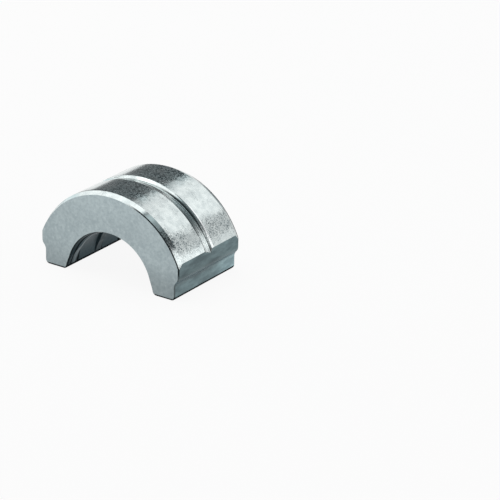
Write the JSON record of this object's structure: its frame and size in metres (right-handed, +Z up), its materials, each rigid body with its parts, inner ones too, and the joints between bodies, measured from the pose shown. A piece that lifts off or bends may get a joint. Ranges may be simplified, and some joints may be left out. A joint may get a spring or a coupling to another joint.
{
  "type": "press fitting tool jaw",
  "caption": "Half-round steel die of a pipe pressing tool: contoured half bore, turned outside with a retaining groove, milled side flats and feet.",
  "frame": {"origin": "on the bore's axis, in the parting face, halfway between the two end faces", "axes": "+X across the width, +Y along the bore, +Z up from the parting face to the crown of the back"},
  "size_m": [0.0454, 0.0278, 0.025],
  "materials": {
    "plated_steel": "hardened steel with a thin bright plating: satin ground end faces, turned bright outside with fine dark speckle, darker bore"
  },
  "bodies": {
    "root": {"press_jaw_half": "plated_steel"}
  },
  "joints": []
}
